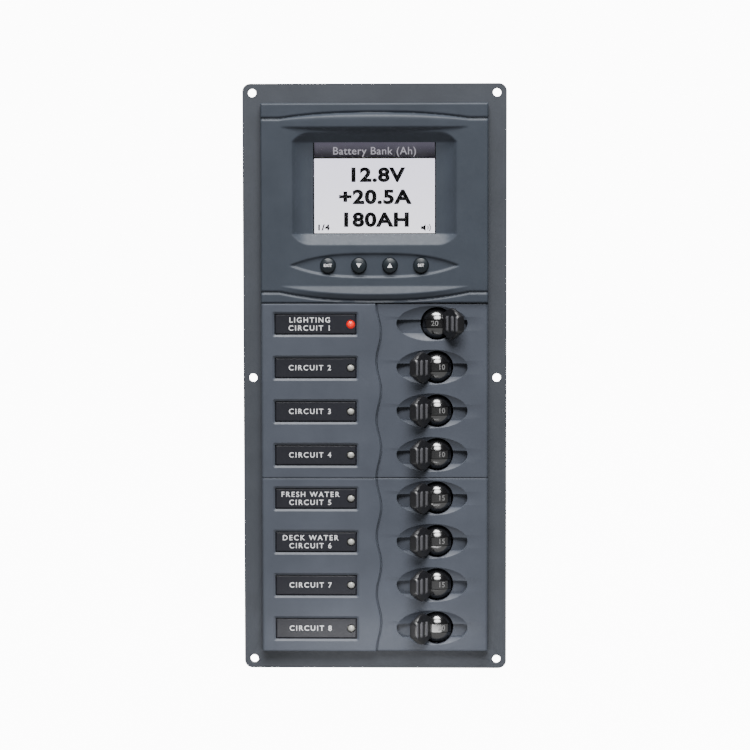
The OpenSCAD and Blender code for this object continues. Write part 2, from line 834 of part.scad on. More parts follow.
module breaker_terminals() {
    pad_front = case_depth;
    seat_y = arm_pivot_y + arm_t / 2 + moving_contact_t + contact_gap;
    blade_x = terminal_dx + pad_w / 2;
    color([0.75, 0.60, 0.25]) for (n = [1:ROWS]) at_breaker(n) {
        for (s = [-1, 1]) difference() {
            span([s * terminal_dx - pad_w / 2, pad_front, -pad_h / 2],
                 [s * terminal_dx + pad_w / 2, pad_front + pad_t, pad_h / 2]);
            translate([s * terminal_dx, 0, 0])
                bar_y(terminal_screw_r + 0.1, pad_front - 1, pad_front + pad_t + 1);
        }
        span([-blade_x, seat_y + fixed_contact_t, -blade_w / 2],
             [-blade_x + blade_t, pad_front + eps, blade_w / 2]);
        span([-blade_x, seat_y + fixed_contact_t, -blade_w / 2],
             [-contact_x + 2.5, seat_y + fixed_contact_t + blade_t, blade_w / 2]);
        translate([-contact_x, 0, 0]) bar_y(contact_r, seat_y, seat_y + fixed_contact_t + eps);
        span([blade_x - blade_t, lead_from, -blade_w / 2], [blade_x, pad_front + eps, blade_w / 2]);
    }
}

module pins_and_rivets() {
    color("silver") for (n = [1:ROWS]) at_breaker(n) {
        translate([0, pivot_y, -collar_r + 0.5]) cylinder(r = pin_r, h = 2 * collar_r - 1);
        translate([0, arm_pivot_y, -case_w / 2 + 0.7]) cylinder(r = arm_pin_r, h = case_w - 1.4);
        for (s = [-1, 1], y = rivet_y) translate([s * rivet_x, y, -case_w / 2])
            cylinder(r = rivet_r, h = case_w);
    }
}

module breaker_screws() {
    color("silver") for (n = [1:ROWS], s = [-1, 1]) at_breaker(n)
        translate([s * screw_dx, 0, 0]) difference() {
            union() {
                countersink(0, 0);
                bar_y(screw_r, plate_front + 0.5, plate_front + screw_reach);
            }
            for (turn = [0, 90]) translate([0, plate_front, 0]) rotate([0, turn, 0])
                cube([screw_head_r, 1, screw_head_r * 0.25], center = true);
        }
}

module terminal_screws() {
    pad_back = case_depth + pad_t;
    color("silver") for (n = [1:ROWS], s = [-1, 1]) at_breaker(n) translate([s * terminal_dx, 0, 0])
        screw(terminal_screw_r, terminal_head_r, terminal_head_h,
              pad_back + (s < 0 ? bus_t : 0), terminal_reach + (s < 0 ? bus_t : 0), -1);
}

module line_busbar() {
    front = case_depth + pad_t;
    bus_x = pivot_x - terminal_dx;
    color([0.80, 0.68, 0.45]) difference() {
        span([bus_x - bus_w / 2, front, row_z(ROWS) + breaker_lift - bus_w / 2],
             [bus_x + bus_w / 2, front + bus_t, feed_z + bus_w / 2]);
        for (n = [1:ROWS]) at_breaker(n) translate([-terminal_dx, 0, 0])
            bar_y(terminal_screw_r + 0.1, front - 1, front + bus_t + 1);
        translate([bus_x, 0, feed_z]) bar_y(feed_r, front - 1, front + bus_t + 1);
    }
}

// ---- The panel ----

mounting_plate();
monitor_bezel();
display_window();
display_module();
display_backlight();
monitor_board();
key_switches();
alarm_sounder();
terminal_blocks();
monitor_rear_case();
fascia_screws();
breaker_fascia(upper_z);  // breaker_fascia_upper
breaker_fascia(lower_z);  // breaker_fascia_lower
indicator_board(upper_z);  // indicator_board_upper
indicator_board(lower_z);  // indicator_board_lower
indicator_lamp_lit();
indicator_lamps_unlit();
breaker_covers();
breaker_coils();
breaker_terminals();
pins_and_rivets();
breaker_screws();
terminal_screws();
line_busbar();
for (k = [0:3]) key(k);
for (i = [1:ROWS]) legend(i);
for (i = [1:ROWS]) breaker_base(i);
for (i = [1:ROWS]) toggle(i);
for (i = [1:ROWS]) contact_arm(i);
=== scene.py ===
import json
import math

import bmesh
import bpy
import numpy as np
from mathutils import Matrix, Vector


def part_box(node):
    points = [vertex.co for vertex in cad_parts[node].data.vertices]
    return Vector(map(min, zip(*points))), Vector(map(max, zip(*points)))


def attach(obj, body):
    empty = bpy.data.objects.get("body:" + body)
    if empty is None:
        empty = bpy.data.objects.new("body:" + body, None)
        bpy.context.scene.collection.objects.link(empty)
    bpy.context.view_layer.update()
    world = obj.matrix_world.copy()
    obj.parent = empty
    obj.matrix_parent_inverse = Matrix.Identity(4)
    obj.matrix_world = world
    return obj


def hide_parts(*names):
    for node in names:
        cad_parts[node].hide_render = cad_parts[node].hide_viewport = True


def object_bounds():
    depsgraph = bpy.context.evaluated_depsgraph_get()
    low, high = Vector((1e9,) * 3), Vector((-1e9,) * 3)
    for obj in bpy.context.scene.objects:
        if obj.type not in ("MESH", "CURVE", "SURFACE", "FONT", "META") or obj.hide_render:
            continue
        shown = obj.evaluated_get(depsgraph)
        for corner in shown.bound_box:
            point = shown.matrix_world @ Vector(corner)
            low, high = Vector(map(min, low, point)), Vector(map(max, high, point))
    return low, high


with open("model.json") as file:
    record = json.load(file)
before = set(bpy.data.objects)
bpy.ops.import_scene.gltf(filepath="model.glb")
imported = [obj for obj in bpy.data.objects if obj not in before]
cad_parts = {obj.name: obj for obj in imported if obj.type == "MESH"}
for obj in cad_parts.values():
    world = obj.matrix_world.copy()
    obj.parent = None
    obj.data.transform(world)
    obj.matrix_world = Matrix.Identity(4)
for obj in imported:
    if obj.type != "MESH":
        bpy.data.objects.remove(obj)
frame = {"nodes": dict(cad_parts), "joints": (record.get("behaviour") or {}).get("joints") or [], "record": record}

# The looks of a battery monitor switch panel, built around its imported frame. Sizes below are in
# millimetres unless a name ends in _M or _m. +X is right, +Y goes into the bulkhead and +Z is up.
MM = 0.001
CAD_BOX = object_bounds()


def low_mm(node):
    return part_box(node)[0] / MM


def high_mm(node):
    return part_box(node)[1] / MM


def middle_mm(node):
    """The middle of a node's box, as x, y and z."""
    return [(a + b) / 2 for a, b in zip(low_mm(node), high_mm(node))]


# ---- Driving sizes, read from the frame ----

PLATE_FRONT = low_mm("mounting_plate").y
HALF_W = high_mm("breaker_fascia_upper").x
RIGHT_FRONT = PLATE_FRONT - 4
LEFT_FRONT = low_mm("breaker_fascia_upper").y
LEFT_INNER = LEFT_FRONT + 1.6
LEGEND_FRONT = low_mm("legend_1").y
# A legend's flange laps this far past its window, behind the fascia's face.
LEGEND_LAP_W = 0.7
LEGEND_LAP_H = 0.49
LEGEND_X = middle_mm("legend_1")[0]
LEGEND_HALF_W = (high_mm("legend_1").x - low_mm("legend_1").x) / 2 - LEGEND_LAP_W
LEGEND_HALF_H = (high_mm("legend_1").z - low_mm("legend_1").z) / 2 - LEGEND_LAP_H
BEZEL_LOW = low_mm("monitor_bezel").z
BEZEL_HIGH = high_mm("monitor_bezel").z
BEZEL_FRONT = PLATE_FRONT - 5
WINDOW_LOW = low_mm("display_window")
WINDOW_HIGH = high_mm("display_window")
DISPLAY_PLANE = WINDOW_LOW.y
WINDOW_LAP = 1.6
DISPLAY_HALF_W = WINDOW_HIGH.x - WINDOW_LAP
DISPLAY_LOW = WINDOW_LOW.z + WINDOW_LAP
DISPLAY_HIGH = WINDOW_HIGH.z - WINDOW_LAP
HEADER_H = 7.0
ROWS = range(1, 9)
KEY_NAMES = ["exit", "down", "up", "set"]


def joint(name):
    return next(j for j in frame["joints"] if j["name"] == name)


def pivot_mm(n):
    return Vector(joint(f"toggle_{n}_throw")["pos_m"]) / MM


def rest_turn(n):
    """Degrees from square at rest: the throw is the same either side of square."""
    return -sum(joint(f"toggle_{n}_throw")["range_deg"]) / 2


# ---- Mesh tools ----

def make_object(name, mesh):
    obj = bpy.data.objects.new(name, mesh)
    bpy.context.scene.collection.objects.link(obj)
    return obj


def object_from(name, points_mm, faces):
    """A new object from points in millimetres."""
    mesh = bpy.data.meshes.new(name)
    mesh.from_pydata([tuple(c * MM for c in p) for p in points_mm], [], faces)
    mesh.validate()
    outward(mesh)
    return make_object(name, mesh)


def outward(mesh):
    bm = bmesh.new()
    bm.from_mesh(mesh)
    bmesh.ops.recalc_face_normals(bm, faces=bm.faces)
    bm.to_mesh(mesh)
    bm.free()


def loft(name, rings):
    """Skins a list of closed rings, all with the same number of points, and closes both ends."""
    count = len(rings[0])
    points = [p for ring in rings for p in ring]
    faces = []
    for i in range(len(rings) - 1):
        for j in range(count):
            k = (j + 1) % count
            faces.append((i * count + j, i * count + k, (i + 1) * count + k, (i + 1) * count + j))
    faces.append(tuple(range(count)))
    faces.append(tuple((len(rings) - 1) * count + j for j in range(count)))
    return object_from(name, points, faces)


def lathe(name, profile, steps=96, axis="Y", centre=(0, 0, 0)):
    """Turns a profile of (radius, distance along axis), which starts and ends on the axis."""
    rings = []
    for r, d in profile[1:-1]:
        ring = []
        for i in range(steps):
            a = 2 * math.pi * i / steps
            u, v = r * math.cos(a), r * math.sin(a)
            ring.append((u, d, v) if axis == "Y" else (u, v, d))
        rings.append(ring)
    points = [p for ring in rings for p in ring]
    first, last = len(points), len(points) + 1
    for r, d in (profile[0], profile[-1]):
        points.append((0, d, 0) if axis == "Y" else (0, 0, d))
    faces = []
    for i in range(len(rings) - 1):
        for j in range(steps):
            k = (j + 1) % steps
            faces.append((i * steps + j, i * steps + k, (i + 1) * steps + k, (i + 1) * steps + j))
    for j in range(steps):
        k = (j + 1) % steps
        faces.append((first, j, k))
        faces.append((last, (len(rings) - 1) * steps + k, (len(rings) - 1) * steps + j))
    points = [tuple(a + b for a, b in zip(p, centre)) for p in points]
    return object_from(name, points, faces)


def block(name, low, high):
    x, y, z = zip(low, high)
    points = [(x[i], y[j], z[k]) for i in (0, 1) for j in (0, 1) for k in (0, 1)]
    faces = [(0, 1, 3, 2), (4, 6, 7, 5), (0, 4, 5, 1), (2, 3, 7, 6), (0, 2, 6, 4), (1, 5, 7, 3)]
    return object_from(name, points, faces)


def rod(name, radius, low, high, axis="Y", centre=(0, 0, 0), steps=96):
    return lathe(name, [(0, low), (radius, low), (radius, high), (0, high)], steps, axis, centre)


def joined(name, parts):
    """One object from several, which are used up."""
    mesh = bpy.data.meshes.new(name)
    bm = bmesh.new()
    for part in parts:
        start = len(bm.verts)
        bm.from_mesh(part.data)
        bm.verts.ensure_lookup_table()
        bmesh.ops.transform(bm, matrix=part.matrix_world, verts=bm.verts[start:])
    bm.to_mesh(mesh)
    bm.free()
    for part in parts:
        bpy.data.objects.remove(part)
    return make_object(name, mesh)


def apply_modifiers(obj):
    bpy.context.view_layer.update()
    mesh = bpy.data.meshes.new_from_object(obj.evaluated_get(bpy.context.evaluated_depsgraph_get()))
    obj.modifiers.clear()
    old = obj.data
    obj.data = mesh
    bpy.data.meshes.remove(old)


def combine(obj, other, operation="DIFFERENCE"):
    """Cuts other out of obj, or adds it. other is used up."""
    modifier = obj.modifiers.new("combine", "BOOLEAN")
    modifier.operation = operation
    modifier.solver = "EXACT"
    modifier.object = other
    apply_modifiers(obj)
    bpy.data.objects.remove(other)


def bevelled(obj, width):
    """Rounds the edges that turn by more than 35 degrees."""
    modifier = obj.modifiers.new("edges", "BEVEL")
    modifier.width = width * MM
    modifier.segments = 2
    modifier.limit_method = "ANGLE"
    modifier.angle_limit = math.radians(35)
    modifier.use_clamp_overlap = True


def smooth_shaded(obj, angle=35):
    """Smooth shading, with the edges that turn by more than angle kept sharp."""
    bm = bmesh.new()
    bm.from_mesh(obj.data)
    limit = math.radians(angle)
    for face in bm.faces:
        face.smooth = True
    for edge in bm.edges:
        edge.smooth = len(edge.link_faces) == 2 and edge.calc_face_angle(0) < limit
    bm.to_mesh(obj.data)
    bm.free()


# ---- Materials ----

def srgb(r, g, b):
    """A colour given as 0 to 255 display values, in linear light."""
    def linear(v):
        v /= 255
        return v / 12.92 if v <= 0.04045 else ((v + 0.055) / 1.055) ** 2.4
    return (linear(r), linear(g), linear(b), 1)


class Nodes:
    """A short way to write a material's node tree."""

    def __init__(self, name):
        self.material = bpy.data.materials.new(name)
        self.material.use_nodes = True
        self.tree = self.material.node_tree
        self.shader = self.tree.nodes["Principled BSDF"]

    def add(self, kind, **settings):
        node = self.tree.nodes.new(kind)
        for key, value in settings.items():
            if key in node.inputs:
                node.inputs[key].default_value = value
            else:
                setattr(node, key, value)
        return node

    def link(self, a, b):
        self.tree.links.new(a, b)

    def place(self):
        return self.add("ShaderNodeTexCoord").outputs["Object"]

    def noise(self, scale, detail=3, roughness=0.5, place=None):
        node = self.add("ShaderNodeTexNoise", Scale=scale, Detail=detail, Roughness=roughness)
        self.link(place or self.place(), node.inputs["Vector"])
        return node.outputs["Fac"]

    def spread(self, value, low, high):
        """Maps the middle of a noise's range to low..high."""
        node = self.add("ShaderNodeMapRange")
        node.inputs["From Min"].default_value = 0.3
        node.inputs["From Max"].default_value = 0.7
        node.inputs["To Min"].default_value = low
        node.inputs["To Max"].default_value = high
        self.link(value, node.inputs["Value"])
        return node.outputs["Result"]

    def blend(self, factor, a, b):
        """From colour a to colour b. Inputs 6 and 7 and output 2 are the mix node's colours."""
        node = self.add("ShaderNodeMix", data_type="RGBA")
        node.inputs[6].default_value = a
        node.inputs[7].default_value = b
        self.link(factor, node.inputs[0])
        return node.outputs[2]

    def bump(self, height, strength, distance):
        node = self.add("ShaderNodeBump", Strength=strength, Distance=distance)
        self.link(height, node.inputs["Height"])
        self.link(node.outputs["Normal"], self.shader.inputs["Normal"])

    def set(self, **values):
        for key, value in values.items():
            self.shader.inputs[key.replace("_", " ")].default_value = value


def shade(color, factor):
    return tuple(c * factor for c in color[:3]) + (1,)


def grained(name, color, roughness, grain=3500, depth=0.00004, strength=0.25, variation=0.08,
            **values):
    """A moulded or coated surface: fine grain, faint cloudiness and uneven gloss."""
    n = Nodes(name)
    n.set(**values)
    cloud = n.noise(60, 2)
    grain_height = n.noise(grain, 3, 0.6)
    tint = n.blend(n.spread(cloud, 0, 1), shade(color, 1 - variation), shade(color, 1 + variation))
    n.link(tint, n.shader.inputs["Base Color"])
    n.link(n.spread(n.noise(grain / 4, 2), roughness - 0.05, roughness + 0.05),
           n.shader.inputs["Roughness"])
    n.bump(grain_height, strength, depth)
    return n.material


def metal(name, color, roughness, along=(1, 1, 1)):
    """Bright metal with fine drawn lines; along stretches them."""
    n = Nodes(name)
    n.set(Metallic=1.0)
    stretch = n.add("ShaderNodeMapping")
    stretch.inputs["Scale"].default_value = along
    n.link(n.place(), stretch.inputs["Vector"])
    lines = n.noise(2500, 2, 0.6, stretch.outputs["Vector"])
    stain = n.noise(150, 3)
    n.link(n.blend(n.spread(stain, 0, 1), shade(color, 0.8), color), n.shader.inputs["Base Color"])
    n.link(n.spread(lines, roughness * 0.7, roughness * 1.3), n.shader.inputs["Roughness"])
    n.bump(lines, 0.15, 0.00003)
    return n.material


def glossy(name, color, roughness, **values):
    """Polished moulding with faint handling marks in its gloss."""
    n = Nodes(name)
    n.set(**values)
    n.link(n.blend(n.spread(n.noise(220, 3), 0, 1), shade(color, 0.85), shade(color, 1.15)),
           n.shader.inputs["Base Color"])
    n.link(n.spread(n.noise(400, 4, 0.7), roughness * 0.75, roughness * 1.25),
           n.shader.inputs["Roughness"])
    n.bump(n.noise(900, 2), 0.05, 0.00003)
    return n.material


def circuit_board(name):
    """Green solder mask over copper tracks."""
    n = Nodes(name)
    n.set(IOR=1.5)
    tracks = n.add("ShaderNodeTexBrick", Scale=260)
    tracks.inputs["Mortar Size"].default_value = 0.03
    n.link(n.place(), tracks.inputs["Vector"])
    color = n.blend(tracks.outputs["Fac"], (0.012, 0.09, 0.035, 1), (0.03, 0.2, 0.07, 1))
    n.link(color, n.shader.inputs["Base Color"])
    n.link(n.spread(n.noise(900), 0.25, 0.4), n.shader.inputs["Roughness"])
    n.bump(tracks.outputs["Fac"], 0.3, 0.00004)
    return n.material


def lamp(name, color, glow):
    """Diffused epoxy lens of an indicator, which glows when it is lit."""
    n = Nodes(name)
    n.set(Roughness=0.2, Coat_Weight=0.5)
    n.link(n.blend(n.spread(n.noise(1500), 0, 1), shade(color, 0.9), color),
           n.shader.inputs["Base Color"])
    n.shader.inputs["Emission Color"].default_value = color
    n.shader.inputs["Emission Strength"].default_value = glow
    return n.material


def screen(name, low, high, glow, height=40):
    """A lit display area: from low to high over its top height, on fine picture elements."""
    n = Nodes(name)
    split = n.add("ShaderNodeSeparateXYZ")
    n.link(n.place(), split.inputs["Vector"])
    ramp = n.add("ShaderNodeMapRange")
    ramp.inputs["From Min"].default_value = (DISPLAY_HIGH - height) * MM
    ramp.inputs["From Max"].default_value = DISPLAY_HIGH * MM
    n.link(split.outputs["Z"], ramp.inputs["Value"])
    dots = n.add("ShaderNodeTexChecker", Scale=2 / (0.22 * MM))
    dots.inputs["Color1"].default_value = (1, 1, 1, 1)
    dots.inputs["Color2"].default_value = (0.93, 0.93, 0.93, 1)
    n.link(n.place(), dots.inputs["Vector"])
    color = n.blend(ramp.outputs["Result"], low, high)
    times = n.add("ShaderNodeMix", data_type="RGBA", blend_type="MULTIPLY")
    times.inputs[0].default_value = 1
    n.link(color, times.inputs[6])
    n.link(dots.outputs["Color"], times.inputs[7])
    n.link(times.outputs[2], n.shader.inputs["Emission Color"])
    n.set(Roughness=0.4, Emission_Strength=glow)
    n.shader.inputs["Base Color"].default_value = (0.01, 0.01, 0.01, 1)
    return n.material


def clear_window(name):
    n = Nodes(name)
    n.set(Roughness=0.02, IOR=1.49, Transmission_Weight=1.0)
    n.shader.inputs["Base Color"].default_value = (0.97, 0.98, 1, 1)
    n.bump(n.noise(300, 2), 0.02, 0.00002)
    return n.material


PLATE_COLOR = srgb(64, 68, 75)
BEZEL_COLOR = srgb(63, 69, 78)
FASCIA_COLOR = srgb(77, 82, 92)

MATERIALS = {
    "plate": grained("plate_coat", PLATE_COLOR, 0.55, 2600, 0.00005, 0.35),
    "bezel": grained("bezel_moulding", BEZEL_COLOR, 0.45, IOR=1.34),
    "fascia": grained("fascia_moulding", FASCIA_COLOR, 0.45, IOR=1.42),
    "window": clear_window("window_acrylic"),
    "lcd": glossy("lcd_cell", srgb(16, 16, 19), 0.2),
    "backlight": grained("backlight_moulding", srgb(230, 230, 230), 0.5),
    "circuit_board": circuit_board("solder_mask"),
    "black_moulding": grained("black_nylon", srgb(38, 39, 41), 0.5, 1800, 0.00006, 0.4),
    "terminal_block": grained("green_nylon", srgb(40, 135, 75), 0.4, 2500),
    "zinc_screw": metal("zinc_plate", (0.62, 0.62, 0.64, 1), 0.3, (1, 0.2, 1)),
    "steel_pin": metal("ground_steel", (0.55, 0.55, 0.57, 1), 0.25, (1, 1, 0.2)),
    "breaker_case": grained("phenolic", srgb(34, 34, 36), 0.42, 1200, 0.00004, 0.3, 0.2),
    "brass_plate": metal("bright_brass", (0.74, 0.54, 0.24, 1), 0.28, (1, 1, 0.3)),
    "tinned_bar": metal("tinned_brass", (0.72, 0.66, 0.52, 1), 0.34, (1, 1, 0.15)),
    "copper": metal("bare_copper", (0.78, 0.4, 0.25, 1), 0.3, (0.3, 1, 1)),
    "legend": grained("legend_film", srgb(35, 36, 43), 0.38, 4000, 0.00002, 0.15),
    "lamp_red": lamp("red_epoxy", (1.0, 0.02, 0.008, 1), 0.75),
    "lamp_clear": lamp("milky_epoxy", srgb(188, 188, 182), 0.0),
    "toggle": glossy("toggle_moulding", (0.006, 0.006, 0.007, 1), 0.17, IOR=2.3),
    "key_cap": glossy("key_rubber", srgb(28, 36, 42), 0.38),
}
INK = grained("white_ink", srgb(242, 242, 244), 0.5, 5000, 0.00001, 0.1, 0.04)
# Rib crowns of the lever: a lighter grey than the black moulding, a painted sheen for light caught on the ribs.
PAINTED_RIB_SHEEN = grained("toggle_rib_painted_sheen", (0.1, 0.1, 0.11, 1), 0.4, 2500, 0.00002, 0.2, 0.1, IOR=1.6)
LEVER_SATIN = glossy("toggle_lever", (0.01, 0.01, 0.012, 1), 0.34, IOR=1.7)
FADED_INK = grained("worn_ink", srgb(125, 125, 125), 0.5, 5000, 0.00001, 0.1, 0.2)
SCREEN_LIGHT = screen("screen_light", srgb(240, 238, 244), srgb(228, 224, 242), 2.4)
SCREEN_HEADER = screen("screen_header", srgb(14, 12, 16), srgb(112, 108, 124), 0.8, HEADER_H)
SCREEN_TEXT = glossy("screen_text", (0.003, 0.003, 0.004, 1), 0.4)
HEADER_TEXT = screen("header_text", srgb(215, 210, 220), srgb(215, 210, 220), 0.8)

SLOT_OF = {s["node"]: s["material_slot"] for s in frame["record"]["subparts"]}


def wear(obj, material):
    obj.data.materials.clear()
    obj.data.materials.append(material)


def piece(obj, body, slot, material=None, replaces=()):
    """Puts a finished piece on its body, in the material of its slot unless one is given, and hides the nodes it
    replaces.
    """
    wear(obj, material or MATERIALS[slot])
    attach(obj, body)
    if replaces:
        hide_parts(*replaces)
    return obj


# ---- Carried-over nodes: their own shapes, with a material and rounded edges ----

# Widths of the rounded edges. A name without its number stands for all eight.
ROUNDED = {
    "mounting_plate": 0.35, "monitor_rear_case": 0.4, "terminal_blocks": 0.25,
    "line_busbar": 0.25, "breaker_covers": 0.25, "breaker_terminals": 0.15,
    "terminal_screws": 0.2, "fascia_screws": 0.15, "breaker_screws": 0.15,
    "alarm_sounder": 0.2, "key_switches": 0.1, "breaker_base": 0.25,
}
for name, obj in frame["nodes"].items():
    slot = SLOT_OF[name]
    wear(obj, MATERIALS[slot])
    width = ROUNDED.get(name.rstrip("_12345678"), 0)
    if width:
        weld = obj.modifiers.new("weld", "WELD")
        weld.merge_threshold = 1e-6
        bevelled(obj, width)


# ---- Breaker fascias ----

SCOOP_X = 25.1
SCOOP_HALF_W = 15.5
SCOOP_HALF_H = 7.65
SCOOP_DEPTH = 1.75
SCOOP_MOUTH = 1.12
SCOOP_END = 1.1
BALL_HOLE_R = 7.15
COLLAR_R = 8.7
COLLAR_FRONT = PLATE_FRONT - 0.8
POCKET_X = (9.5, 40.4)
POCKET_Z = (-4.3, 1.6)
POCKET_DEPTH = 3.0
WAVE_X = 1.5
WAVE_SIZE = 1.0
WAVES = 3
SIDE_R = 1.3
END_R = 0.35
STEP_R = 0.5
STEP_GROOVE = 0.6
FASCIA_WALL = 1.5
HOLLOW_HALF_W = 47.4
HOLLOW_RIGHT = -1.2
WINDOW_CHAMFER = 0.9


def quarter(d, r):
    """How far a rounded edge of radius r falls back at distance d from the side."""
    if d >= r:
        return 0.0
    return r - math.sqrt(max(0.0, r * r - (r - d) ** 2))


def fascia_section(z, low, high):
    """The outline of a fascia across the panel at height z: a legend column standing proud on the
    left, a breaker column on the right and a waved step between them."""
    end = quarter(min(z - low, high - z), END_R)
    wave = WAVE_X - WAVE_SIZE * math.cos(2 * math.pi * WAVES * (high - z) / (high - low))
    left, right = LEFT_FRONT + end, RIGHT_FRONT + end
    arc = [math.radians(a) for a in (0, 18, 36, 54, 72, 90)]
    turn = [(1 - math.cos(a), 1 - math.sin(a)) for a in arc]
    outline = [(-HALF_W, PLATE_FRONT)]
    outline += [(-HALF_W + SIDE_R * c, left + SIDE_R * s) for c, s in turn]
    outline += [(wave - STEP_R * s, left + STEP_R * c) for c, s in turn]
    outline += [(wave + 0.05, right + STEP_GROOVE), (wave + 0.5, right + STEP_GROOVE),
                (wave + 0.75, right)]
    outline += [(HALF_W - SIDE_R * s, right + SIDE_R * c) for c, s in turn]
    outline += [(HALF_W, PLATE_FRONT)]
    return [(x, y, z) for x, y in outline]


def fascia_heights(low, high):
    ends = [END_R * (1 - math.cos(math.radians(a))) for a in (0, 30, 60, 90)]
    middle = list(np.linspace(low + END_R, high - END_R, 120))[1:-1]
    return [low + e for e in ends] + middle + [high - e for e in reversed(ends)]


def scoop_cutter(name, z):
    """The finger recess round a toggle: an oval dish with a nearly flat floor and a steep rim."""
    rings = []
    for across in np.linspace(-SCOOP_END, SCOOP_END, 61):
        reach = math.sqrt(SCOOP_MOUTH ** 2 - across ** 2)
        rings.append([(SCOOP_X + across * SCOOP_HALF_W,
                       RIGHT_FRONT + SCOOP_DEPTH * (1 - (across ** 2 + up ** 2) ** 2),
                       z + up * SCOOP_HALF_H) for up in np.linspace(-reach, reach, 49)])
    return loft(name, rings)


def pocket_cutter(name, z):
    """The slot where the lever lies at each end of its throw, with ends curved like the recess."""
    middle, half = (POCKET_X[0] + POCKET_X[1]) / 2, (POCKET_X[1] - POCKET_X[0]) / 2
    side = [(half * math.sqrt(1 - (h / SCOOP_HALF_H) ** 2), h) for h in np.linspace(*POCKET_Z, 13)]
    outline = [(middle + r, z + h) for r, h in side]
    outline += [(middle - r, z + h) for r, h in reversed(side)]
    return loft(name, [[(x, y, up) for x, up in outline]
                       for y in (RIGHT_FRONT - 1, RIGHT_FRONT + POCKET_DEPTH)])


def window_cutter(name, z):
    """A legend's window, wider at its mouth."""
    def ring(grow, y):
        w, h = LEGEND_HALF_W + grow, LEGEND_HALF_H + grow
        r = 0.5 + grow * 0.6
        corners = [(1, 1, 0), (-1, 1, 90), (-1, -1, 180), (1, -1, 270)]
        points = []
        for sx, sz, start in corners:
            for step in range(5):
                a = math.radians(start + 22.5 * step)
                points.append((LEGEND_X + sx * (w - r) + r * math.cos(a), y,
                               z + sz * (h - r) + r * math.sin(a)))
        return points
    return loft(name, [ring(WINDOW_CHAMFER + 0.5, LEFT_FRONT - 0.5),
                       ring(WINDOW_CHAMFER, LEFT_FRONT),
                       ring(0, LEFT_FRONT + 0.6), ring(0, LEFT_INNER + 0.5)])


def build_fascia(name, rows):
    low, high = low_mm(name).z, high_mm(name).z
    fascia = loft(name + "_moulding",
                  [fascia_section(z, low, high) for z in fascia_heights(low, high)])
    row_z = [middle_mm(f"legend_{n}")[2] for n in rows]
    pivots = [pivot_mm(n) for n in rows]
    combine(fascia, joined("windows", [window_cutter("window", z) for z in row_z]))
    combine(fascia, joined("scoops", [scoop_cutter("scoop", p.z) for p in pivots]))
    combine(fascia, joined("pockets", [pocket_cutter("pocket", p.z) for p in pivots]))
    stepped = [(0, RIGHT_FRONT - 1), (BALL_HOLE_R, RIGHT_FRONT - 1), (BALL_HOLE_R, COLLAR_FRONT),
               (COLLAR_R, COLLAR_FRONT), (COLLAR_R, PLATE_FRONT + 1), (0, PLATE_FRONT + 1)]
    combine(fascia, joined("holes", [lathe("hole", stepped, centre=(p.x, 0, p.z)) for p in pivots]))
    combine(fascia, block("hollow", (-HOLLOW_HALF_W, LEFT_INNER - 0.01, low + FASCIA_WALL),
                          (HOLLOW_RIGHT, PLATE_FRONT + 1, high - FASCIA_WALL)))
    smooth_shaded(fascia, 28)
    piece(fascia, "panel", "fascia", replaces=[name])


build_fascia("breaker_fascia_upper", ROWS[:4])
build_fascia("breaker_fascia_lower", ROWS[4:])


# ---- Monitor bezel ----

BROW_HALF_W = 41.0
BROW_PROUD = 2.2
SILL_PROUD = 1.45
BROW_EDGE = 109.0
BROW_UNDER = 2.3
SILL_EDGE = 40.2
SILL_RISE = 3.6
GROOVE_TOP = (112.6, 2.55)
GROOVE_BOTTOM = (37.4, -3.6)
GROOVE_HALF = 0.8
GROOVE_DEPTH = 0.8
RECESS_HALF_W = 35.7
RECESS_TOP = 106.8
RECESS_BOTTOM = 58.05
RECESS_DEPTH = DISPLAY_PLANE - BEZEL_FRONT
POD_HALF_W = 37.3
POD_HALF_H = 5.35
POD_DEPTH = 0.8
POD_WALL = 0.8
KEY_Z = middle_mm("key_up")[2]
KEY_HOLE_R = 3.45
BEZEL_STEP = 0.3
BEZEL_EDGE_R = 0.8
BEZEL_WALL = 2.3
KEY_HOLLOW_TOP = 55.6


def soft_step(x):
    t = np.clip(x, 0, 1)
    return t * t * (3 - 2 * t)


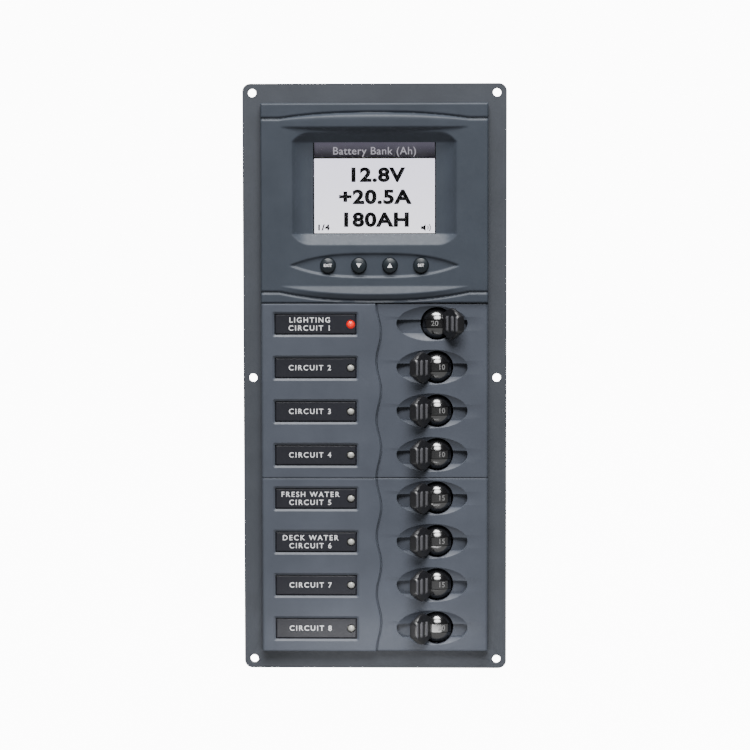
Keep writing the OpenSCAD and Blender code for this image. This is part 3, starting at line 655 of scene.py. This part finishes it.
def bezel_relief(x, z):
    """How far the bezel's face stands out from its front plane, on a grid of x and z."""
    swell = np.clip(1 - (np.abs(x) / BROW_HALF_W) ** 2.4, 0, 1)
    top_groove = GROOVE_TOP[0] + GROOVE_TOP[1] * swell
    low_groove = GROOVE_BOTTOM[0] + GROOVE_BOTTOM[1] * swell
    relief = np.zeros_like(x)
    # Brow: rises from the upper groove to an edge, then turns under.
    above = 1 - np.clip((z - BROW_EDGE) / (top_groove - BROW_EDGE), 0, 1) ** 8
    turn = np.maximum(0.3, BROW_UNDER * swell)
    under = np.clip((z - (BROW_EDGE - turn)) / turn, 0, 1)
    relief += BROW_PROUD * swell * np.where(z > BROW_EDGE, above, under)
    # Sill: a bright ledge that falls outwards, then turns back to the lower groove.
    fall = np.maximum(0.3, SILL_RISE * swell)
    edge = SILL_EDGE - fall
    ledge = np.clip((SILL_EDGE - z) / fall, 0, 1)
    back = np.clip((z - low_groove) / np.maximum(0.3, edge - low_groove), 0, 1)
    relief += SILL_PROUD * swell * np.where(z > edge, ledge, back ** 1.2)
    # Display recess: a steep wall above, a ledge below and long easy slopes at its sides.
    t = np.clip((RECESS_HALF_W - np.abs(x)) / (RECESS_HALF_W - DISPLAY_HALF_W), 0, 1)
    deep = 1 - (1 - t) ** 2.6
    wall = np.maximum(0.05, (RECESS_TOP - DISPLAY_HIGH) * deep)
    shelf = np.maximum(0.05, (DISPLAY_LOW - RECESS_BOTTOM) * deep)
    inside = np.minimum(1 - np.clip((z - DISPLAY_HIGH) / wall, 0, 1),
                        1 - np.clip((DISPLAY_LOW - z) / shelf, 0, 1))
    relief -= RECESS_DEPTH * deep * inside
    # Pod: a shallow pointed hollow round the keys.
    pod_half = POD_HALF_H * np.clip(1 - (np.abs(x) / POD_HALF_W) ** 3, 0, 1)
    relief -= POD_DEPTH * soft_step((pod_half - np.abs(z - KEY_Z)) / POD_WALL)
    for centre in (top_groove, low_groove):
        relief -= GROOVE_DEPTH * soft_step(1 - np.abs(z - centre) / GROOVE_HALF)
    return relief


def softened(relief, passes):
    """Rounds creases a little, leaving the border of the grid alone."""
    for _ in range(passes):
        inner = relief.copy()
        inner[1:-1, 1:-1] = (4 * relief[1:-1, 1:-1] + relief[:-2, 1:-1] + relief[2:, 1:-1]
                             + relief[1:-1, :-2] + relief[1:-1, 2:]) / 8
        relief = inner
    return relief


def lines_through(stops):
    """Grid lines about BEZEL_STEP apart that pass through every stop."""
    lines = [stops[0]]
    for a, b in zip(stops, stops[1:]):
        lines += list(np.linspace(a, b, max(2, round((b - a) / BEZEL_STEP) + 1)))[1:]
    return np.array(lines)


def build_bezel():
    xs = lines_through([-HALF_W, -DISPLAY_HALF_W, DISPLAY_HALF_W, HALF_W])
    zs = lines_through([BEZEL_LOW, DISPLAY_LOW, DISPLAY_HIGH, BEZEL_HIGH])
    x, z = np.meshgrid(xs, zs, indexing="ij")
    relief = softened(bezel_relief(x, z), 2)
    side = np.minimum(HALF_W - np.abs(x), np.minimum(z - BEZEL_LOW, BEZEL_HIGH - z))
    side = np.clip(side, 0, BEZEL_EDGE_R)
    relief -= BEZEL_EDGE_R - np.sqrt(BEZEL_EDGE_R ** 2 - (BEZEL_EDGE_R - side) ** 2)
    y = BEZEL_FRONT - relief
    nx, nz = x.shape
    points = [(x[i, j], y[i, j], z[i, j]) for i in range(nx) for j in range(nz)]
    faces = []
    for i in range(nx - 1):
        for j in range(nz - 1):
            middle = (xs[i] + xs[i + 1]) / 2, (zs[j] + zs[j + 1]) / 2
            if abs(middle[0]) < DISPLAY_HALF_W and DISPLAY_LOW < middle[1] < DISPLAY_HIGH:
                continue
            a = i * nz + j
            faces.append((a, a + 1, a + nz + 1, a + nz))
    bezel = object_from("bezel_moulding", points, faces)
    close_back(bezel, PLATE_FRONT * MM)
    combine(bezel, joined("key_holes", [
        rod("hole", KEY_HOLE_R, BEZEL_FRONT - 1, PLATE_FRONT + 1, centre=(key_x(k), 0, KEY_Z))
        for k in KEY_NAMES]))
    combine(bezel, block("key_hollow", (-HOLLOW_HALF_W, BEZEL_FRONT + BEZEL_WALL, BEZEL_LOW + 1.6),
                         (HOLLOW_HALF_W, PLATE_FRONT + 1, KEY_HOLLOW_TOP)))
    smooth_shaded(bezel, 40)
    piece(bezel, "panel", "bezel", replaces=["monitor_bezel"])


def close_back(obj, y_m):
    """Draws every open border straight back to the plane y_m, and closes the back between them."""
    bm = bmesh.new()
    bm.from_mesh(obj.data)
    border = [e for e in bm.edges if e.is_boundary]
    made = bmesh.ops.extrude_edge_only(bm, edges=border)["geom"]
    for v in made:
        if isinstance(v, bmesh.types.BMVert):
            v.co.y = y_m
    rim = [e for e in made if isinstance(e, bmesh.types.BMEdge) and e.is_boundary]
    bmesh.ops.triangle_fill(bm, edges=rim, use_beauty=True)
    bmesh.ops.recalc_face_normals(bm, faces=bm.faces)
    bm.to_mesh(obj.data)
    bm.free()


def key_x(name):
    return middle_mm("key_" + name)[0]


build_bezel()


# ---- Lettering ----

def lettering(name, lines, size, thick, spacing=1.0, heavy=0.0, stretch=1.0):
    """Flat letters that face -Y, as one object. lines holds (text, x, z) places, heavy thickens the
    strokes and stretch widens the letters."""
    parts = []
    for text, x, z in lines:
        curve = bpy.data.curves.new("text", "FONT")
        curve.body = text
        curve.size = size * MM
        curve.align_x = "CENTER"
        curve.align_y = "CENTER"
        curve.space_character = spacing
        curve.offset = heavy * MM
        curve.extrude = thick / 2 * MM
        curve.resolution_u = 4
        writing = make_object("text", curve)
        bpy.context.view_layer.update()
        mesh = bpy.data.meshes.new_from_object(
            writing.evaluated_get(bpy.context.evaluated_depsgraph_get()))
        bpy.data.objects.remove(writing)
        part = make_object("text", mesh)
        part.matrix_world = (Matrix.Translation(Vector((x, 0, z)) * MM)
                             @ Matrix.Rotation(math.pi / 2, 4, "X")
                             @ Matrix.Diagonal((stretch, 1, 1, 1)))
        parts.append(part)
    bpy.context.view_layer.update()
    return joined(name, parts)


def polygon_mark(name, points, thick):
    """A flat mark that faces -Y, from its corners in x and z."""
    count = len(points)
    verts = [(x, -thick / 2, z) for x, z in points] + [(x, thick / 2, z) for x, z in points]
    faces = [tuple(range(count)), tuple(range(count, 2 * count))]
    faces += [(i, (i + 1) % count, count + (i + 1) % count, count + i) for i in range(count)]
    return object_from(name, verts, faces)


def set_at_y(obj, y):
    obj.location.y = y * MM
    bpy.context.view_layer.update()
    return obj


LEGEND_GAP = 0.3
PAD_CHAMFER = 0.45
FLANGE_FRONT = LEFT_INNER + 0.02
FLANGE_T = 0.78


def build_legend_mesh():
    """A legend strip about the middle of its window: a chamfered pad in front of a wider flange."""
    def ring(grow_w, grow_h, y):
        w, h = LEGEND_HALF_W + grow_w, LEGEND_HALF_H + grow_h
        return [(-w, y, -h), (w, y, -h), (w, y, h), (-w, y, h)]
    inset = -LEGEND_GAP - PAD_CHAMFER
    pad = loft("pad", [ring(inset, inset, LEGEND_FRONT),
                       ring(-LEGEND_GAP, -LEGEND_GAP, LEGEND_FRONT + 0.4),
                       ring(-LEGEND_GAP, -LEGEND_GAP, FLANGE_FRONT),
                       ring(LEGEND_LAP_W, LEGEND_LAP_H, FLANGE_FRONT),
                       ring(LEGEND_LAP_W, LEGEND_LAP_H, FLANGE_FRONT + FLANGE_T)])
    combine(pad, rod("lamp_hole", LAMP_R + 0.15, LEGEND_FRONT - 1, PLATE_FRONT,
                     centre=(LAMP_X - LEGEND_X, 0, 0)))
    smooth_shaded(pad, 20)
    mesh = pad.data
    bpy.data.objects.remove(pad)
    return mesh


LAMP_X = middle_mm("indicator_lamp_lit")[0]
LAMP_R = (high_mm("indicator_lamp_lit").x - low_mm("indicator_lamp_lit").x) / 2 - 0.3
LEGEND_MESH = build_legend_mesh()
LEGENDS = {
    1: ["LIGHTING", "CIRCUIT 1"], 2: ["CIRCUIT 2"], 3: ["CIRCUIT 3"], 4: ["CIRCUIT 4"],
    5: ["FRESH WATER", "CIRCUIT 5"], 6: ["DECK WATER", "CIRCUIT 6"],
    7: ["CIRCUIT 7"], 8: ["CIRCUIT 8"],
}
LETTER_SIZE = 3.2
LINE_STEP = 3.5
INK_T = 0.06
LEGEND_TEXT_X = -28.2

for n, words in LEGENDS.items():
    middle = middle_mm(f"legend_{n}")[2]
    top = middle + LINE_STEP * (len(words) - 1) / 2
    places = [(word, LEGEND_TEXT_X, top - i * LINE_STEP) for i, word in enumerate(words)]
    text = lettering(f"legend_{n}_words", places, LETTER_SIZE, INK_T, 1.3, 0.05)
    set_at_y(text, LEGEND_FRONT)
    piece(text, "panel", "legend", INK)
    strip = make_object(f"legend_{n}_strip", LEGEND_MESH)
    strip.location = Vector((LEGEND_X, 0, middle)) * MM
    bpy.context.view_layer.update()
    piece(strip, "panel", "legend", replaces=[f"legend_{n}"])


# ---- Display ----

READINGS = [("12.8V", 0.6, 88.1), ("+20.5A", 0.0, 78.5), ("180AH", 0.2, 68.6)]
READING_SIZE = 8.2
TITLE_SIZE = 4.7
PAGE_SIZE = 3.4
SCREEN_INK_T = 0.04
HORN_X = 20.2
FOOT_Z = DISPLAY_LOW + 2.7
SOUND_T = 0.35


def build_display():
    """The cell behind the window, and the lit picture on its front."""
    cell_low, cell_high = low_mm("display_module"), high_mm("display_module")
    front = cell_low.y
    cell = block("display_cell", cell_low + Vector((0, 0.25, 0)), cell_high)
    bevelled(cell, 0.3)
    apply_modifiers(cell)
    piece(cell, "panel", "lcd", replaces=["display_module"])
    header_low = DISPLAY_HIGH - HEADER_H
    half = DISPLAY_HALF_W - 0.45
    light = block("display_field", (-half, front + 0.05, DISPLAY_LOW + 0.35),
                  (half, front + 0.25, header_low))
    piece(light, "panel", "lcd", SCREEN_LIGHT)
    header = block("display_header", (-half, front + 0.04, header_low),
                   (half, front + 0.25, DISPLAY_HIGH + 0.3))
    piece(header, "panel", "lcd", SCREEN_HEADER)

    def show(mark, material=SCREEN_TEXT):
        piece(set_at_y(mark, front + 0.02), "panel", "lcd", material)

    title = [("Battery Bank (Ah)", 0, header_low + 3.2)]
    show(lettering("display_title", title, TITLE_SIZE, SCREEN_INK_T, 1.06, 0.02), HEADER_TEXT)
    show(lettering("display_readings", READINGS, READING_SIZE, SCREEN_INK_T, 1.08, 0.37, 1.2))
    page = [("1/4", -22.4, FOOT_Z)]
    show(lettering("display_page", page, PAGE_SIZE, SCREEN_INK_T, 1.1, 0.12, 1.2))
    x, z = HORN_X, FOOT_Z
    horn = [(x, z - 0.6), (x + 0.9, z - 0.6), (x + 2.0, z - 1.5),
            (x + 2.0, z + 1.5), (x + 0.9, z + 0.6), (x, z + 0.6)]
    show(polygon_mark("display_horn", horn, SCREEN_INK_T))
    turns = [math.radians(-48 + 12 * i) for i in range(9)]
    for n, radius in enumerate((1.2, 2.2), 1):
        outer = [(x + 2.1 + radius * math.cos(a), z + radius * math.sin(a)) for a in turns]
        inner = [(x + 2.1 + (radius - SOUND_T) * math.cos(a), z + (radius - SOUND_T) * math.sin(a))
                 for a in reversed(turns)]
        show(polygon_mark(f"display_wave_{n}", outer + inner, SCREEN_INK_T))


build_display()


# ---- Keys ----

KEY_R = 3.2
KEY_EDGE_R = 0.5
KEY_STEM_R = 1.6
KEY_FLANGE_R = 4.4
KEY_FLANGE_T = 0.8
KEY_WORD_SIZE = 1.75
MARK_T = 0.5
KEY_LEGENDS = {"exit": "EXIT", "set": "SET"}


def build_key(name):
    low, high = low_mm("key_" + name), high_mm("key_" + name)
    top, centre = low.y, (key_x(name), 0, KEY_Z)
    flange_front = BEZEL_FRONT + 2.4
    edge = [(KEY_R - KEY_EDGE_R + KEY_EDGE_R * math.cos(a), top + 0.95 - KEY_EDGE_R * math.sin(a))
            for a in (math.radians(t) for t in (0, 25, 50))]
    crown = [(r, top + 0.55 * (r / 2.8) ** 2) for r in (2.6, 2.2, 1.8, 1.4, 1.0, 0.5)]
    flange_back = flange_front + KEY_FLANGE_T
    profile = [(0, high.y), (KEY_STEM_R, high.y), (KEY_STEM_R, flange_back),
               (KEY_FLANGE_R, flange_back), (KEY_FLANGE_R, flange_front), (KEY_R, flange_front)]
    profile += edge + crown + [(0, top)]
    cap = lathe(f"key_{name}_cap", profile, 64, "Y", centre)
    smooth_shaded(cap, 50)
    piece(cap, "key_" + name, "key_cap", replaces=["key_" + name])
    if name in KEY_LEGENDS:
        words = [(KEY_LEGENDS[name], centre[0], KEY_Z)]
        mark = lettering(f"key_{name}_mark", words, KEY_WORD_SIZE, MARK_T, 1.0, 0.05)
    else:
        s = 1 if name == "up" else -1
        mark = polygon_mark(f"key_{name}_mark", [(centre[0] - 1.15, KEY_Z - s * 0.95),
                                                 (centre[0] + 1.15, KEY_Z - s * 0.95),
                                                 (centre[0], KEY_Z + s * 1.05)], MARK_T)
    piece(set_at_y(mark, top + 0.21), "key_" + name, "key_cap", INK)


for name in KEY_NAMES:
    build_key(name)


# ---- Toggles ----

BALL_R = 7.1
BAND_HALF = 1.95
BAND_R = 6.75
BALL_BACK = 3.6
REACH = 17.0
LEVER_HALF_T = 1.7
EDGE_HALF_T = 0.9
PAD_HALF = 3.3
SHOULDER = 6.8
TIP_R = 0.7
LEVER_EDGE = [(2, 4.3), (6, 4.8), (8, 6.0), (9.3, SHOULDER), (10.6, 6.95), (12, 6.65), (13.5, 6.0),
              (14.75, 5.2), (16, 4.15), (REACH, PAD_HALF)]
RIBS = (9.6, 13.0, 16.2)
RIB_HALF = 0.95
RIB_HEIGHT = 0.42
TAIL_HALF = 2.6
SLOT_HALF = 1.4
PIN_HOLE_R = 1.05


def lever_half_width(r):
    at, width = zip(*LEVER_EDGE)
    # A moving mean rounds the shoulders of the spade.
    return sum(np.interp(r + d, at, width) for d in (-0.9, -0.45, 0, 0.45, 0.9)) / 5


def lever_half_thickness(r, z):
    slope = min(1, max(0, (abs(z) - PAD_HALF) / (SHOULDER - PAD_HALF)))
    base = LEVER_HALF_T + (EDGE_HALF_T - LEVER_HALF_T) * slope
    across = float(soft_step((PAD_HALF + 0.1 - abs(z)) / 0.5))
    rib = sum(max(0, 1 - ((r - at) / RIB_HALF) ** 2) ** 0.5 for at in RIBS)
    return base + RIB_HEIGHT * rib * across


def lever_ring(r, shrink):
    half = lever_half_width(r) - shrink
    end = lever_half_thickness(r, half)
    flat = half - end * 0.8
    side = [flat * (-1 + 2 * i / 22) for i in range(23)]
    right = [(max(0.1, lever_half_thickness(r, z) - shrink), z) for z in side]
    end_t = max(0.1, lever_half_thickness(r, flat) - shrink)
    turn = [math.radians(a) for a in (22.5, 45, 67.5, 90, 112.5, 135, 157.5)]
    top = [(end_t * math.cos(a), flat + (half - flat) * math.sin(a)) for a in turn]
    left = [(-x, z) for x, z in reversed(right)]
    bottom = [(-x, -z) for x, z in top]
    return [(x, -r, z) for x, z in right + top + left + bottom]


def build_toggle_mesh():
    """The moulded toggle about its pivot, with the lever along -Y."""
    stations = list(np.arange(2.5, REACH - TIP_R, 0.22)) + [REACH - TIP_R]
    rings = [lever_ring(r, 0) for r in stations]
    for a in (20, 40, 60, 75, 90):
        a = math.radians(a)
        rings.append(lever_ring(REACH - TIP_R + TIP_R * math.sin(a), TIP_R * (1 - math.cos(a))))
    lever = loft("lever", rings)
    turns = [math.pi * i / 90 - math.pi / 2 for i in range(91)]
    polar = [(BALL_R * math.cos(a), BALL_R * math.sin(a)) for a in turns]
    outside = [(r, d) for r, d in polar if abs(d) > BAND_HALF + 0.15]
    edge_r = math.sqrt(BALL_R ** 2 - BAND_HALF ** 2)
    groove = BALL_R - BAND_R
    band = [(edge_r, -BAND_HALF - 0.02), (edge_r - groove, -BAND_HALF + 0.06)]
    band += [(BAND_R, d) for d in np.linspace(-1.75, 1.75, 8)]
    band += [(edge_r - groove, BAND_HALF - 0.06), (edge_r, BAND_HALF + 0.02)]
    low_part = [p for p in outside if p[1] < 0]
    high_part = [p for p in outside if p[1] > 0]
    profile = [(0, -BALL_R)] + low_part[1:] + band + high_part[:-1] + [(0, BALL_R)]
    ball = lathe("ball", profile, 128, "Z")
    combine(ball, block("back", (-10, BALL_BACK, -10), (10, 10, 10)))
    combine(ball, lever, "UNION")
    combine(ball, block("tail", (-TAIL_HALF, BALL_BACK - 1, -1.5), (TAIL_HALF, 9.8, 1.5)), "UNION")
    combine(ball, block("slot", (-SLOT_HALF, 4.6, -3), (SLOT_HALF, 11, 3)))
    combine(ball, rod("pin_hole", PIN_HOLE_R, -10, 10, "Z", steps=48))
    smooth_shaded(ball, 32)
    mesh = ball.data
    mesh.materials.clear()
    mesh.materials.append(MATERIALS["toggle"])
    mesh.materials.append(PAINTED_RIB_SHEEN)
    mesh.materials.append(LEVER_SATIN)
    for face in mesh.polygons:
        x, y, z = face.center / MM
        # Rib crowns take the lighter grey, a painted sheen; the rest of the lever past the ball takes the satin
        # black.
        if -y > BALL_R and abs(x) > LEVER_HALF_T + 0.12 and abs(z) < PAD_HALF:
            face.material_index = 1
        elif y < 0 and face.center.length > (BALL_R + 0.05) * MM:
            face.material_index = 2
    bpy.data.objects.remove(ball)
    return mesh


RATINGS = {1: "20", 2: "10", 3: "10", 4: "10", 5: "15", 6: "15", 7: "15", 8: "20"}
RATING_TURNS = {"off": 56, "on": -46}
RATING_SIZE = 3.2
RATING_T = 0.08


def build_rating(name, text, turn):
    """Rating digits printed on the band, turn degrees round it from the lever."""
    mark = lettering(name, [(text, 0, 0)], RATING_SIZE, RATING_T, 1.05, 0.04)
    for v in mark.data.vertices:
        x, y, z = v.co / MM
        r = BAND_R + RATING_T / 2 - y
        a = math.radians(turn) + x / BAND_R
        v.co = Vector((r * math.sin(a), -r * math.cos(a), z)) * MM
    return mark


def build_toggles():
    mesh = build_toggle_mesh()
    for n in ROWS:
        place = (Matrix.Translation(pivot_mm(n) * MM)
                 @ Matrix.Rotation(math.radians(rest_turn(n)), 4, "Z"))
        toggle = make_object(f"toggle_{n}_moulding", mesh)
        toggle.matrix_world = place
        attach(toggle, f"toggle_{n}")
        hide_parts(f"toggle_{n}")
        for side, turn in RATING_TURNS.items():
            mark = build_rating(f"toggle_{n}_rating_{side}", RATINGS[n], turn)
            mark.matrix_world = place
            piece(mark, f"toggle_{n}", "toggle", FADED_INK)


build_toggles()


# ---- Camera, floor and light ----

CAMERA_ANGLE = 17.523
CAMERA_DISTANCE_M = 1.0659
CAMERA_TURN = 1.42
CAMERA_RISE = 3.5
CAMERA_ROLL = -0.095
CAMERA_TARGET_M = (0, 0, 0.00104)
# What the camera sees past the object is white. The floor also shines a little in the object's
# gloss, out to SHINE_NEAR_M, and next to nothing past SHINE_FAR_M.
WHITE_GLOW = 12.0
FLOOR_SHINE = 0.3
FAR_SHINE = 0.03
SHINE_NEAR_M = 0.2
SHINE_FAR_M = 0.4
FLOOR_SIZE_M = 6.0
FLOOR_GAP_M = 0.0005
WORLD_LIGHT = 0.03


def aim(obj, place, target):
    obj.location = place
    obj.rotation_euler = (Vector(target) - Vector(place)).to_track_quat("-Z", "Y").to_euler()


def build_camera():
    data = bpy.data.cameras.new("camera")
    data.angle = math.radians(CAMERA_ANGLE)
    camera = bpy.data.objects.new("camera", data)
    bpy.context.scene.collection.objects.link(camera)
    turn, rise = math.radians(CAMERA_TURN), math.radians(CAMERA_RISE)
    target = Vector(CAMERA_TARGET_M)
    back = Vector((math.sin(turn) * math.cos(rise), -math.cos(turn) * math.cos(rise),
                   math.sin(rise)))
    aim(camera, target + CAMERA_DISTANCE_M * back, target)
    camera.rotation_euler.rotate_axis("Z", math.radians(CAMERA_ROLL))
    bpy.context.scene.camera = camera


def build_floor():
    """A grey floor just under the plate's lower edge, which the camera sees as white."""
    level = CAD_BOX[0][2] - FLOOR_GAP_M
    size = FLOOR_SIZE_M
    mesh = bpy.data.meshes.new("floor")
    mesh.from_pydata([(-size, -size, level), (size, -size, level), (size, size, level),
                      (-size, size, level)], [], [(0, 1, 2, 3)])
    floor = make_object("floor", mesh)
    n = Nodes("floor_paper")
    n.link(n.blend(n.spread(n.noise(40, 3), 0, 1), (0.09, 0.09, 0.09, 1), (0.1, 0.1, 0.1, 1)),
           n.shader.inputs["Base Color"])
    n.set(Roughness=0.8)
    n.shader.inputs["Emission Color"].default_value = (1, 1, 1, 1)
    rays = n.add("ShaderNodeLightPath")
    far = n.add("ShaderNodeVectorMath", operation="LENGTH")
    n.link(n.place(), far.inputs[0])
    near = n.add("ShaderNodeMapRange")
    near.inputs["From Min"].default_value = SHINE_NEAR_M
    near.inputs["From Max"].default_value = SHINE_FAR_M
    near.inputs["To Min"].default_value = FLOOR_SHINE
    near.inputs["To Max"].default_value = FAR_SHINE
    n.link(far.outputs["Value"], near.inputs["Value"])
    shine = n.add("ShaderNodeMath", operation="MULTIPLY")
    n.link(rays.outputs["Is Glossy Ray"], shine.inputs[0])
    n.link(near.outputs["Result"], shine.inputs[1])
    glow = n.add("ShaderNodeMath", operation="MULTIPLY_ADD")
    glow.inputs[1].default_value = WHITE_GLOW
    n.link(rays.outputs["Is Camera Ray"], glow.inputs[0])
    n.link(shine.outputs[0], glow.inputs[2])
    n.link(glow.outputs[0], n.shader.inputs["Emission Strength"])
    floor.data.materials.append(n.material)


def soft_light(name, place, target, width, height, power):
    """An oval area light, in metres and watts."""
    data = bpy.data.lights.new(name, "AREA")
    data.shape = "ELLIPSE"
    data.size = width
    data.size_y = height
    data.energy = power
    light = bpy.data.objects.new(name, data)
    light.visible_camera = False
    bpy.context.scene.collection.objects.link(light)
    aim(light, place, target)


def build_world():
    """A dim even light, and plain white where the camera sees past the object."""
    world = bpy.data.worlds.new("studio")
    bpy.context.scene.world = world
    world.use_nodes = True
    tree = world.node_tree
    background = tree.nodes["Background"]
    bright = tree.nodes.new("ShaderNodeBackground")
    mix = tree.nodes.new("ShaderNodeMixShader")
    rays = tree.nodes.new("ShaderNodeLightPath")
    background.inputs["Strength"].default_value = WORLD_LIGHT
    background.inputs["Color"].default_value = (1, 1, 1, 1)
    bright.inputs["Strength"].default_value = WHITE_GLOW
    bright.inputs["Color"].default_value = (1, 1, 1, 1)
    tree.links.new(rays.outputs["Is Camera Ray"], mix.inputs["Fac"])
    tree.links.new(background.outputs[0], mix.inputs[1])
    tree.links.new(bright.outputs[0], mix.inputs[2])
    tree.links.new(mix.outputs[0], tree.nodes["World Output"].inputs["Surface"])


build_camera()
build_floor()
build_world()
soft_light("overhead", (-0.1, -0.72, 2.0), (0, 0, 0), 1.7, 0.6, 64)
soft_light("front", (0.15, -1.875, 1.8), (0, 0, 0), 1.95, 1.05, 75)
soft_light("rear", (0.3, 1.3, 0.9), (0, 0, 0), 1.2, 0.8, 20)
soft_light("low", (0, -0.05, -0.12), (0, 0, -0.125), 0.12, 0.01, 0.018)
